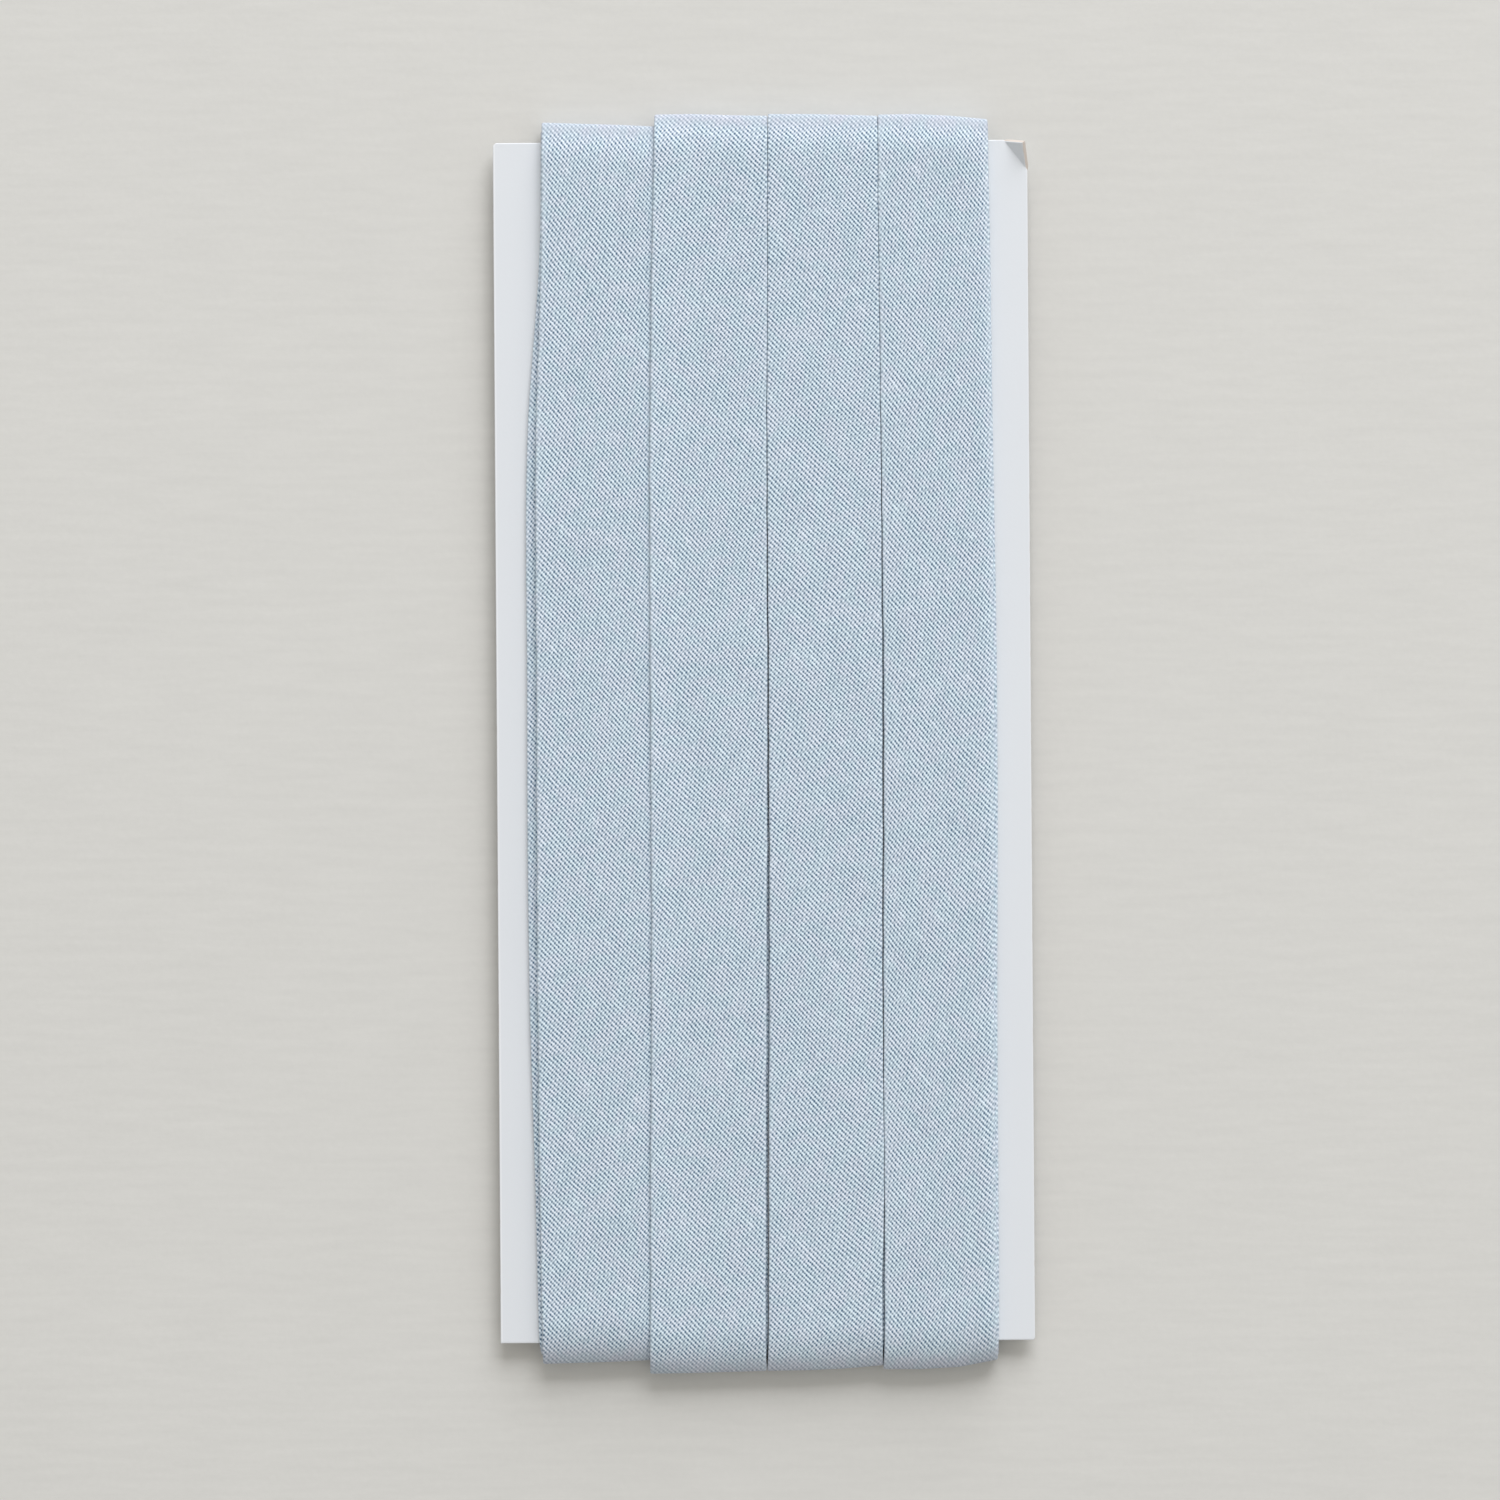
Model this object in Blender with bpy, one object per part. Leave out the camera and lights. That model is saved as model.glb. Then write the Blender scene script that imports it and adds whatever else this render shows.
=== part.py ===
"""Bias binding wound on a card.

A folded cotton tape is wound lengthwise round a white board, in four lanes that lie side by side.
The part lies on its back: +X runs across the card, +Y along it and +Z out of its front. The origin
is under its middle, on the surface that it rests on. Sizes are in metres, and MM turns them from
millimetres.
"""

import math

import bmesh
import bpy
import numpy as np
from mathutils import Vector

MM = 0.001

# The tape: cotton cut on the bias, its two edges folded behind to meet, pressed flat.
TAPE_THICKNESS = 0.6 * MM
TURNS_IN_LANE = 3
STACK = TURNS_IN_LANE * TAPE_THICKNESS
FOLD_RADIUS = 0.2 * MM
LEDGE_ROUNDING = 0.05 * MM

# The card, turned a little against the lanes.
CARD_WIDTH = 93.5 * MM
CARD_LENGTH = 210.0 * MM
CARD_THICKNESS = 1.0 * MM
CARD_TURN = math.radians(0.38)
CARD_CENTRE_Y = 0.4 * MM
CARD_EDGE_ROUNDING = 0.12 * MM
EDGE_ROUNDING_STEPS = 2
BLUNTED_CORNER = 0.5 * MM
NICKED_CORNER = 0.3 * MM

# The corner that is bent up: how much of the two edges it takes, how far and how sharply it is bent.
BENT_ALONG_TOP = 3.9 * MM
BENT_DOWN_SIDE = 5.1 * MM
BEND_ANGLE = math.radians(42)
BEND_RADIUS = 1.6 * MM
BEND_STEPS = 4
CUT_TOLERANCE = 1e-7

# The winding: its back lies on the surface, and the card lies in its middle, just clear of it.
CLEARANCE = 0.3 * MM
SLOT_HALF = CARD_THICKNESS / 2 + CLEARANCE
WINDING_HALF = SLOT_HALF + STACK
INNER_TURNS_HALF = WINDING_HALF - TAPE_THICKNESS
MIDDLE_Z = WINDING_HALF
SLIT_FLOOR_HALF = WINDING_HALF - 2 * TAPE_THICKNESS

# The second lane's left edge lies over the first lane and comes down to the winding's face.
OVERLAP_RISE = 0.4 * MM
OVERLAP_SLOPE = 3.0 * MM
HALF_WAY_DOWN = 0.45

FRONT_STATIONS = 15
ARC_STEPS = 12

# Where the lanes' edges run on the front, in millimetres, a row for each place along the card. The
# inner turns show beside the outer ones at both sides. joint_12 is the edge of the second lane.
EDGE_COLUMNS = (
    "y", "inner_left", "left", "joint_12", "joint_23", "gap_23", "joint_34", "gap_34", "right", "inner_right",
)
EDGE_ROWS = (
    (107.8, -39.0, -38.9, -19.1, 0.6, 0.30, 19.8, 0.30, 39.0, 39.1),
    (87.9, -39.2, -38.9, -19.5, 0.6, 0.30, 20.0, 0.30, 39.4, 39.5),
    (54.8, -41.3, -39.8, -19.9, 0.5, 0.30, 20.4, 0.30, 39.8, 40.0),
    (7.6, -41.4, -39.7, -19.8, 0.7, 0.32, 20.8, 0.30, 40.2, 40.8),
    (-44.7, -41.0, -39.5, -19.6, 0.7, 0.38, 20.8, 0.32, 40.2, 40.8),
    (-79.6, -39.9, -39.1, -19.8, 0.6, 0.50, 21.0, 0.38, 40.5, 41.0),
    (-107.6, -39.2, -38.5, -19.9, 0.5, 0.50, 20.9, 0.34, 41.0, 41.1),
)

# How far the lanes' loops stand from the part's middle, in millimetres, read at the lane's left, at
# one and two thirds of its width and at its right.
ACROSS_LANE = (0.0, 1 / 3, 2 / 3, 1.0)
TOP_ENDS = (
    (108.7, 108.5, 108.3, 108.0),
    (110.1, 110.2, 110.0, 109.9),
    (110.2, 110.2, 110.1, 109.9),
    (110.1, 110.2, 109.9, 109.3),
)
BOTTOM_ENDS = (
    (-108.5, -108.3, -108.1, -107.8),
    (-110.2, -110.1, -109.9, -109.7),
    (-109.7, -109.6, -109.3, -108.7),
    (-109.4, -109.4, -109.0, -107.7),
)
INNER_TURNS_SHORT = 0.4 * MM
SLOT_TOP = 106.4 * MM
SLOT_BOTTOM = -106.0 * MM

# The tape goes round the card's ends in long, flattened bends. Each stands out this much further than a
# half circle of its own height would.
TOP_STRETCH = 2.6 * MM
BOTTOM_STRETCH = 3.5 * MM

CLOTH_BLUE = (0.48, 0.57, 0.65, 1.0)
CLOTH_ROUGHNESS = 0.85
CLOTH_SMOOTH_ANGLE = math.radians(40)
BOARD_WHITE = (0.78, 0.79, 0.81, 1.0)
BOARD_ROUGHNESS = 0.45
BOARD_SMOOTH_ANGLE = math.radians(35)


def clear_scene():
    for item in list(bpy.data.objects):
        bpy.data.objects.remove(item, do_unlink=True)


def material(name, colour, roughness):
    made = bpy.data.materials.new(name)
    made.use_nodes = True
    shader = made.node_tree.nodes["Principled BSDF"]
    shader.inputs["Base Color"].default_value = colour
    shader.inputs["Roughness"].default_value = roughness
    shader.inputs["Metallic"].default_value = 0.0
    return made


def add_object(name, mesh, look, smooth_angle):
    mesh.materials.append(look)
    mesh.shade_smooth()
    mesh.set_sharp_from_angle(angle=smooth_angle)
    made = bpy.data.objects.new(name, mesh)
    bpy.context.scene.collection.objects.link(made)
    return made


def smooth_through(places, values, where):
    """The curve through all the values: a cubic from each to the next, with the slope that its
    neighbours give."""
    slopes = np.gradient(values, places)
    low = np.clip(np.searchsorted(places, where) - 1, 0, len(places) - 2)
    span = places[low + 1] - places[low]
    t = (np.clip(where, places[0], places[-1]) - places[low]) / span
    start = (2 * t**3 - 3 * t**2 + 1) * values[low] + (t**3 - 2 * t**2 + t) * span * slopes[low]
    end = (3 * t**2 - 2 * t**3) * values[low + 1] + (t**3 - t**2) * span * slopes[low + 1]
    return start + end


def edge_places(y):
    """Each named edge's place across the card, and each slit's width, at the given places along it."""
    rows = np.array(EDGE_ROWS[::-1]) * MM
    names = enumerate(EDGE_COLUMNS)
    return {name: smooth_through(rows[:, 0], rows[:, k], y) for k, name in names if k}


def section(edges):
    """The winding's section across the card as columns (place across, distance from the middle, lane,
    fraction of the lane's width, share of the overlap's rise). It runs over the outside from left to right,
    then back through the slot. A lane of None is the slot's wall."""
    lanes = (
        (edges["left"], edges["joint_12"]),
        (edges["joint_12"], edges["joint_23"] - edges["gap_23"] / 2),
        (edges["joint_23"] + edges["gap_23"] / 2, edges["joint_34"] - edges["gap_34"] / 2),
        (edges["joint_34"] + edges["gap_34"] / 2, edges["right"]),
    )
    face, edge, floor = WINDING_HALF, WINDING_HALF - FOLD_RADIUS, SLIT_FLOOR_HALF
    ledge = INNER_TURNS_HALF
    inner_left, inner_right = edges["inner_left"], edges["inner_right"]
    columns = [
        (inner_left, SLOT_HALF, None, 0, 0),
        (inner_left, ledge - FOLD_RADIUS, "left", 0, 0),
        (inner_left + LEDGE_ROUNDING, ledge, "left", 0, 0),
        (edges["left"], ledge, "left", 0, 0),
    ]
    for lane, (left, right) in enumerate(lanes):
        width = right - left
        overlaps = lane == 1
        columns += [(left, edge, lane, 0, overlaps), (left + FOLD_RADIUS, face, lane, 0, overlaps)]
        if overlaps:
            columns.append((left + OVERLAP_SLOPE, face, lane, OVERLAP_SLOPE / width, HALF_WAY_DOWN))
        columns += [(left + share * width, face, lane, share, 0) for share in ACROSS_LANE[1:3]]
        if lane == 0:
            columns.append((right, face, lane, 1, 0))
        else:
            columns += [(right - FOLD_RADIUS, face, lane, 1, 0), (right, edge, lane, 1, 0)]
        if lane in (1, 2):
            columns += [(right, floor, "slit", lane, 0), (lanes[lane + 1][0], floor, "slit", lane, 0)]
    columns += [
        (edges["right"], ledge, "right", 0, 0),
        (inner_right - LEDGE_ROUNDING, ledge, "right", 0, 0),
        (inner_right, ledge - FOLD_RADIUS, "right", 0, 0),
        (inner_right, SLOT_HALF, None, 0, 0),
    ]
    return columns


def loop_centre(lane, share, ends, slot_end, stretch):
    """How far along the card a column's bend begins, at the end that the table of ends is for."""
    outward = math.copysign(1, slot_end)
    if lane is None:
        return slot_end - outward * SLOT_HALF
    if lane == "left":
        reach = ends[0][0] * MM - outward * INNER_TURNS_SHORT
    elif lane == "right":
        reach = ends[-1][-1] * MM - outward * INNER_TURNS_SHORT
    elif lane == "slit":
        reach = min(ends[share][-1], ends[share + 1][0], key=abs) * MM
    else:
        reach = float(np.interp(share, ACROSS_LANE, ends[lane])) * MM
    return reach - outward * (WINDING_HALF + stretch)


def winding_mesh():
    """The winding as a closed sleeve. Each column of the section runs round a loop of two straight runs and
    two half ellipses, at its own distance from the loop's middle, and faces join neighbouring columns. Round
    the slot's ends the ellipses are half circles."""
    top_y, bottom_y = EDGE_ROWS[0][0] * MM, EDGE_ROWS[-1][0] * MM
    top_edges, bottom_edges = edge_places(top_y), edge_places(bottom_y)
    rings = []

    def centres(columns):
        tops, bottoms = [], []
        for _, _, lane, share, _ in columns:
            tops.append(loop_centre(lane, share, TOP_ENDS, SLOT_TOP, TOP_STRETCH))
            bottoms.append(loop_centre(lane, share, BOTTOM_ENDS, SLOT_BOTTOM, BOTTOM_STRETCH))
        return tops, bottoms

    def ring(columns, ys, angle):
        """One ring of points: straight up from the middle at angle 0, out past the top end at a quarter
        turn."""
        rise = OVERLAP_RISE * max(0.0, math.cos(angle)) ** 2
        stretch = TOP_STRETCH if math.sin(angle) > 0 else BOTTOM_STRETCH
        points = []
        for (x, half, lane, _, raised), y in zip(columns, ys):
            height = half + rise * raised
            reach = height if lane is None else height + stretch
            points.append((x, y + reach * math.sin(angle), MIDDLE_Z + height * math.cos(angle)))
        rings.append(points)

    for along in np.linspace(0.0, 1.0, FRONT_STATIONS):
        columns = section(edge_places(bottom_y + (top_y - bottom_y) * along))
        tops, bottoms = centres(columns)
        ring(columns, [low + (high - low) * along for low, high in zip(bottoms, tops)], 0.0)
    for edges, end in ((top_edges, 0), (bottom_edges, 1)):
        columns = section(edges)
        ys = centres(columns)[end]
        for step in range(1, ARC_STEPS + 1 - end):
            ring(columns, ys, math.pi * (end + step / ARC_STEPS))
        if end == 0:
            back_columns = section(bottom_edges)
            ring(back_columns, centres(back_columns)[1], math.pi)

    mesh = bmesh.new()
    made = [[mesh.verts.new(point) for point in points] for points in rings]
    for ring_a, ring_b in zip(made, made[1:] + made[:1]):
        for k, corner in enumerate(ring_a):
            mesh.faces.new((corner, ring_a[k - 1], ring_b[k - 1], ring_b[k]))
    bmesh.ops.recalc_face_normals(mesh, faces=mesh.faces)
    result = bpy.data.meshes.new("binding")
    mesh.to_mesh(result)
    mesh.free()
    return result


def card_outline():
    """The board's outline, anticlockwise from the lower left corner, with its blunted and nicked corners."""
    x, y = CARD_WIDTH / 2, CARD_LENGTH / 2
    return (
        (-x, -y),
        (x - NICKED_CORNER, -y),
        (x, -y + NICKED_CORNER),
        (x, y),
        (-x + BLUNTED_CORNER, y),
        (-x, y - BLUNTED_CORNER),
    )


def bend_corner(point, crease, outward):
    """A point past the crease goes round the bend's circle, then straight on at the bend's full angle."""
    past = (point - crease).dot(outward)
    if past <= 0:
        return point
    angle = min(past / BEND_RADIUS, BEND_ANGLE)
    straight = past - BEND_RADIUS * angle
    along = BEND_RADIUS * math.sin(angle) + straight * math.cos(angle) - point.z * math.sin(angle)
    height = BEND_RADIUS * (1 - math.cos(angle)) + straight * math.sin(angle) + point.z * math.cos(angle)
    foot = point - outward * past
    return Vector((foot.x, foot.y, 0)) + outward * along + Vector((0, 0, height))


def card_mesh():
    """The board: its outline, raised to its thickness, its rims rounded and one corner bent up."""
    mesh = bmesh.new()
    base = mesh.faces.new([mesh.verts.new((x, y, -CARD_THICKNESS / 2)) for x, y in card_outline()])
    grown = bmesh.ops.extrude_face_region(mesh, geom=[base])
    raised = [item for item in grown["geom"] if isinstance(item, bmesh.types.BMVert)]
    bmesh.ops.translate(mesh, verts=raised, vec=(0, 0, CARD_THICKNESS))
    bmesh.ops.recalc_face_normals(mesh, faces=mesh.faces)
    rims = []
    for edge in mesh.edges:
        start, end = edge.verts
        if abs(start.co.z - end.co.z) < CARD_THICKNESS / 2:
            rims.append(edge)
    bmesh.ops.bevel(
        mesh, geom=rims, offset=CARD_EDGE_ROUNDING, segments=EDGE_ROUNDING_STEPS, profile=0.5, affect="EDGES"
    )

    corner = Vector((CARD_WIDTH / 2, CARD_LENGTH / 2, 0))
    crease = corner - Vector((BENT_ALONG_TOP, 0, 0))
    outward = Vector((BENT_DOWN_SIDE, BENT_ALONG_TOP, 0)).normalized()
    for step in range(BEND_STEPS + 1):
        place = crease + outward * (BEND_RADIUS * BEND_ANGLE * step / BEND_STEPS)
        everything = [*mesh.verts, *mesh.edges, *mesh.faces]
        bmesh.ops.bisect_plane(
            mesh, geom=everything, plane_co=place, plane_no=outward, dist=CUT_TOLERANCE
        )
    for vertex in mesh.verts:
        vertex.co = bend_corner(vertex.co.copy(), crease, outward)
    result = bpy.data.meshes.new("card")
    mesh.to_mesh(result)
    mesh.free()
    return result


def main():
    clear_scene()
    cloth = material("pressed_cotton", CLOTH_BLUE, CLOTH_ROUGHNESS)
    board = material("coated_board", BOARD_WHITE, BOARD_ROUGHNESS)
    add_object("binding", winding_mesh(), cloth, CLOTH_SMOOTH_ANGLE)
    card = add_object("card", card_mesh(), board, BOARD_SMOOTH_ANGLE)
    card.location = (0.0, CARD_CENTRE_Y, MIDDLE_Z)
    card.rotation_euler = (0.0, 0.0, CARD_TURN)


main()
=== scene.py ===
"""Looks of the bias binding wound on a card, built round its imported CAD.

The tape is made as it is sewn and wound. A strip is cut on the bias and its two edges are folded behind to
meet, so it has two plies. It goes three times round the card in each of four lanes, up the front and down
the back, and then slantwise across the back to the next lane. Sizes are in metres, and MM turns them from
millimetres.
"""

import math

import bpy
import numpy as np
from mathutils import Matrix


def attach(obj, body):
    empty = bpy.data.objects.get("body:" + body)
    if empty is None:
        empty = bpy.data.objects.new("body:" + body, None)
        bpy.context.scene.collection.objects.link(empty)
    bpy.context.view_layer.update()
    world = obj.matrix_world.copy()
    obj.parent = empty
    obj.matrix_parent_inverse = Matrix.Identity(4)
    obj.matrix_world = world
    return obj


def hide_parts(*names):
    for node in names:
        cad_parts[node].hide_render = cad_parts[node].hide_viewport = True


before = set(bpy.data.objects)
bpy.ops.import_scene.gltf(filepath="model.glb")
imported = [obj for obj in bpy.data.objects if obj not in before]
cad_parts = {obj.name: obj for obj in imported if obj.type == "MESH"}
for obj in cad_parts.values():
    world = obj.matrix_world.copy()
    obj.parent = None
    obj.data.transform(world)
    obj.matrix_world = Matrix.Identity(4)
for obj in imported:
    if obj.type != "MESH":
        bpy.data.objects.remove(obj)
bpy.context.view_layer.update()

bl_info = {
    "name": "Bias binding on a card",
    "version": (1, 0, 0),
    "blender": (4, 5, 0),
    "location": "3D View > Sidebar > Binding",
    "description": "Winds a folded bias tape round a white card and lays it on a pale floor",
    "category": "Object",
}

MM = 0.001
TAPE_MAP = "tape"
BAKE_MAP = "OFBake"
CUT_EDGE = "cut_edge"
TURNED_OVER = "turned_over"

# The tape: how thick a ply is, how far its middle lies from the tape's own middle, and how much of the
# cut strip is folded under at each side.
PLY = 0.27 * MM
PLY_OFFSET = 0.155 * MM
FOLDED_UNDER = 9.2 * MM
FOLD_REACH = PLY_OFFSET + PLY / 2

# The winding, with turns and lanes counted from 0: how far the middle of each turn and the outermost face
# lie from the card's middle plane, that plane's height, and the length by which the steps along a lane are
# counted.
LAST_TURN, LAST_LANE = 2, 3
TURN_HALVES = (1.1 * MM, 1.7 * MM, 2.3 * MM)
TURN_GAP = TURN_HALVES[1] - TURN_HALVES[0]
FACE_HALF = 2.6 * MM
MIDDLE_Z = 2.6 * MM
STRAIGHT_RUN = 209 * MM

# Where the lanes' edges run on the front, in millimetres, a row for each place along the card. The inner
# turns show beside the outer ones at both sides. joint_12 is the edge of the second lane.
EDGE_COLUMNS = (
    "y", "inner_left", "left", "joint_12", "joint_23", "gap_23", "joint_34", "gap_34", "right", "inner_right",
)
EDGE_ROWS = (
    (107.8, -39.0, -38.9, -19.1, 0.6, 0.07, 19.8, 0.04, 39.0, 39.1),
    (87.9, -39.2, -38.9, -19.5, 0.6, 0.05, 20.0, 0.04, 39.4, 39.5),
    (54.8, -41.3, -39.8, -19.9, 0.5, 0.11, 20.4, 0.09, 39.8, 40.0),
    (7.6, -41.4, -39.7, -19.8, 0.7, 0.30, 20.8, 0.30, 40.2, 40.8),
    (-44.7, -41.0, -39.5, -19.6, 0.7, 0.52, 20.8, 0.20, 40.2, 40.8),
    (-79.6, -39.9, -39.1, -19.8, 0.6, 0.55, 21.0, 0.12, 40.5, 41.0),
    (-97.1, -39.5, -38.8, -19.8, 0.6, 0.55, 20.9, 0.42, 40.8, 41.1),
    (-107.6, -39.2, -38.5, -19.9, 0.5, 0.50, 20.9, 0.30, 41.0, 41.1),
)
LANE_ENDS = np.array([EDGE_ROWS[0][0], EDGE_ROWS[-1][0]]) * MM

# How far the lanes' loops stand from the part's middle, in millimetres, read at the lane's left, at one and
# two thirds of its width and at its right.
ACROSS_LANE = (0.0, 1 / 3, 2 / 3, 1.0)
TOP_ENDS = (
    (108.7, 108.5, 108.3, 108.0),
    (110.1, 110.2, 110.0, 109.9),
    (110.2, 110.2, 110.1, 109.9),
    (110.1, 110.2, 109.9, 109.3),
)
BOTTOM_ENDS = (
    (-108.5, -108.3, -108.1, -107.8),
    (-110.2, -110.1, -109.9, -109.7),
    (-109.7, -109.6, -109.3, -108.7),
    (-109.4, -109.4, -109.0, -107.7),
)
TURN_SLACK = (0.3 * MM, 0.15 * MM, 0.0)

# Small irregular waves: their lengths, and how far they go. The lanes' edges wobble, an inner turn strays
# as a whole, and this many times less where it shows. The face waves in two directions, given as what the
# waves' phases are drawn from and parts of x and y, and calms down towards the ends at this rate.
EDGE_WOBBLE = ((9 * MM, 17 * MM, 31 * MM), 0.06 * MM)
TURN_STRAY = ((60 * MM, 110 * MM), 0.12 * MM)
SHOWN_STRAYS_LESS = 3
FACE_WAVES = (
    (0, 1.0, 0.35, (13 * MM, 23 * MM), 0.02 * MM),
    (50, -0.2, 1.0, (27 * MM, 61 * MM), 0.03 * MM),
)
CALMING = 8

# The tape goes round the ends in long bends, which stand out this much further than half circles. Their
# upper side droops this much, but the innermost turn's less, for it lies on the card. The ends are blunt:
# the power is 1 for an ellipse and less for a squarer end. BEND_CROWDING is the power by which the rows
# crowd at a bend's middle. The tape begins to turn over where the sine of a row's angle is TURNED_FROM, and
# has turned over at TURNED_TO.
TOP_STRETCH = 4.4 * MM
TOP_DROOP = 0.5 * MM
TOP_POWER = 0.45
BOTTOM_STRETCH = 4.8 * MM
BOTTOM_DROOP = 1.45 * MM
BOTTOM_POWER = 0.2
INNERMOST_DROOP = 0.3
BEND_CROWDING = 1.6
TURNED_FROM, TURNED_TO = 0.5, 0.9

# How much the tape was pulled as it was wound, at each lane's bottom and top, and the power with which the
# one turns into the other. A pulled bias tape grows longer and narrower, so that its threads turn towards
# its length.
PULLS = ((0.0, 0.9), (0.0, 0.0), (0.0, 0.0), (0.9, 1.0))
PULL_POWER = 3
NARROWED = 0.073
LENGTHENED = 0.068

# The second lane's left edge lies over the first lane's right edge, which is pressed down under it.
TUCK = 0.4 * MM
OVERLAP_RISE = 0.5 * MM
OVERLAP_REACH = 6.7 * MM
OVERLAP_POWER = 1.4
TUCK_DIP = 0.3 * MM
TUCK_DIP_REACH = 0.8 * MM

# The fourth lane's right edge was never pressed hard: it rounds off towards the card.
SOFT_EDGE_DIP = 0.4 * MM
SOFT_EDGE_REACH = 2.6 * MM

# Which turn of each lane shows beside its outer one, and how far inside it the other one stops. The share
# of a slit that the innermost turn lies under, so that cloth and not card is seen in it, and the share of
# it that closes where the tape bends round the bottom end.
SHOWN_INNER_TURNS = (0, 1, 1, 1)
HIDDEN_TURN_SHORT = 0.22 * MM
SLIT_FILLED = 0.75
SLIT_CLOSED = 0.8

# On the back the slanting strips keep this far off the line from corner to corner of each lane, but for a
# ramp at both ends, and a turn steps down over their edge within the room that this leaves. Then how far
# before its lane's edge a strip begins to dive, and how far a turn's left edge is drawn in. In parts of the
# way down the back: where the tape's first end begins, how long the step over it is, and where its last end
# stops. LAST_WIDTH is how wide the last strip is.
STRIP_BEFORE = 0.5 * MM
STRIP_AFTER = 0.3 * MM
MARGIN_RAMP = 0.05
LANE_STEP = 0.9 * MM
DIVE_BEFORE = 0.25 * MM
BACK_INSET = 0.45 * MM
TAIL_START = 0.955
TAIL_STEP = 0.01
TAPE_END = 0.12
LAST_WIDTH = 19.2 * MM

# Steps along the tape, and round its ends.
FRONT_STEP = 1.6 * MM
BACK_STEP = 3.2 * MM
HIDDEN_STEP = 6.0 * MM
ARC_STEPS = 20
TAIL_ROWS = 5

# The points across the face and round a fold, and where they lie on what is folded under.
FACE_POINTS = 19
FOLD_POINTS = 7
UNDER_PLACES = (0.3, 0.7, 1.0)

# How a piece's own square map is shared out for a bake, in parts of its side: the left, the bottom, the
# width and height of a band, and the number of bands side by side. They hold the face that shows in front,
# the faces behind, what is folded under or lies inside, and the cut ends. The second cut end stands
# CUT_END_SPACING widths from the first, BAND_MARGIN is the part of a band's width that a face takes, and
# FACE_COLUMNS are the section's columns from which and to which it counts as the face.
SHOWN_BANDS = (0.002, 0.004, 0.21, 0.80, 3)
BACK_BANDS = (0.64, 0.004, 0.119, 0.992, 3)
HIDDEN_BAND = (0.004, 0.815, 0.55, 0.18)
CUT_END_BAND = (0.56, 0.815, 0.035, 0.18)
CUT_END_SPACING = 1.1
BAND_MARGIN = 0.96
FACE_COLUMNS = (6, 30)

# The card, turned a little against the lanes, with its blunted, nicked and bent corners. The face's
# outermost points get the negative mark below in place of the way over the rim: it places the painted
# highlight along the card's edge.
CARD_WIDTH = 93.5 * MM
CARD_LENGTH = 210.0 * MM
CARD_THICKNESS = 1.0 * MM
CARD_TURN = math.radians(0.38)
CARD_CENTRE_Y = 0.4 * MM
RIM_DEPTH = 0.10 * MM
RIM_WIDTH = 0.18 * MM
RIM_STEPS = 4
HIGHLIGHT_MARK = -1.0
BLUNTED_CORNER = 0.5 * MM
NICKED_CORNER = 0.3 * MM
BENT_ALONG_TOP = 4.2 * MM
BENT_DOWN_SIDE = 5.4 * MM
BEND_ANGLE = math.radians(45)
BEND_RADIUS = 0.6 * MM
FINE_CARD_STEP = 0.25 * MM
FINE_CARD_REACH = 8.0 * MM
CARD_STEP = 4.0 * MM
SHARP_FROM = math.radians(50)

# The cloth. Threads stray from their straight way: the length of a wave and how far it goes. Two threads
# lie this far apart in the noise, where the second threads and the slubs have places of their own, and the
# threads' tone and their slubs last this many threads. Then how light a slub is, from what to what the
# noise makes one, the cotton's fibres, its mottle and how strong that is, and the patches of tint.
THREAD_STRAYS = ((24 * MM, 1.1 * MM), (2.0 * MM, 0.11 * MM), (0.6 * MM, 0.06 * MM))
THREAD_SPACING = 3.7
SECOND_PLACE, SLUB_PLACE = 91.0, 37.0
TONE_LENGTH, SLUB_LENGTH = 2.5, 9.0
SLUB_LIGHT, SLUB_RANGE = 0.15, (0.2, 0.32)
FIBRE_GRAIN = 0.3 * MM
MOTTLE, MOTTLE_STRENGTH = 7 * MM, 0.1
TINT_PATCH, TINT_RANGE = 3.5 * MM, (0.35, 0.65)

# Where across the cloth its folds begin and end, how much weaker the painted groove shade is there, and how
# strong the painted highlight along the folds is.
FOLD_RANGE = (9.2 * MM, 10.0 * MM)
FOLD_SOFTENS, FOLD_HIGHLIGHT = 0.45, 0.045

# How much of the relief comes from the first threads, the second ones and their crossings.
RELIEF_SHARES = (0.6, 0.25, 0.15)

# The card's clouds and grain, how strong they are, and how strong the painted highlight along its face's
# edge is. Its core shows past the power of the way over the rim, and in worn places.
CARD_CLOUD, CARD_CLOUDED = 30 * MM, 0.6
CARD_GRAIN, CARD_GRAINED = 0.5 * MM, 0.2
LIP_HIGHLIGHT = 0.6
CORE_POWER = 6
WORN_PATCH, WORN_RANGE, WORN_STRENGTH = 2.5 * MM, (0.55, 0.68), 0.6

# The floor's grain, clouds and brushed streaks, how strong each is, how the streaks are drawn out, and how
# much darker and lighter than its colour it goes.
FLOOR_GRAIN, FLOOR_GRAINED = 1.2 * MM, 0.7
FLOOR_CLOUD, FLOOR_CLOUDED = 40 * MM, 0.35
FLOOR_STREAK, FLOOR_STREAKED, STREAKS_DRAWN = 1.6 * MM, 1.3, (0.12, 1.0, 1.0)
FLOOR_DARKER, FLOOR_LIGHTER = 0.965, 1.035
FLOOR_HALF = 3.0

# The window: its light is a little bluish, and the room's light that fills the shadows a little warm.
WINDOW_SIZE = (2.3, 2.7)
WINDOW_ELEVATION, WINDOW_SWING, WINDOW_AWAY = math.radians(25), math.radians(13), 3.1
WINDOW_COLOUR = (0.93, 0.95, 1.0)
FILL_COLOUR = (0.99, 0.985, 0.96, 1.0)

# The camera looks straight down, so that the tape's face fills the frame as it does in the photograph.
CAMERA_PLACE = (-2.44 * MM, -1.08 * MM, 0.9052)
CAMERA_LENS = 123.75
CAMERA_CLIP = (0.05, 20.0)
SENSOR = 36.0


# Shapes


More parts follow.
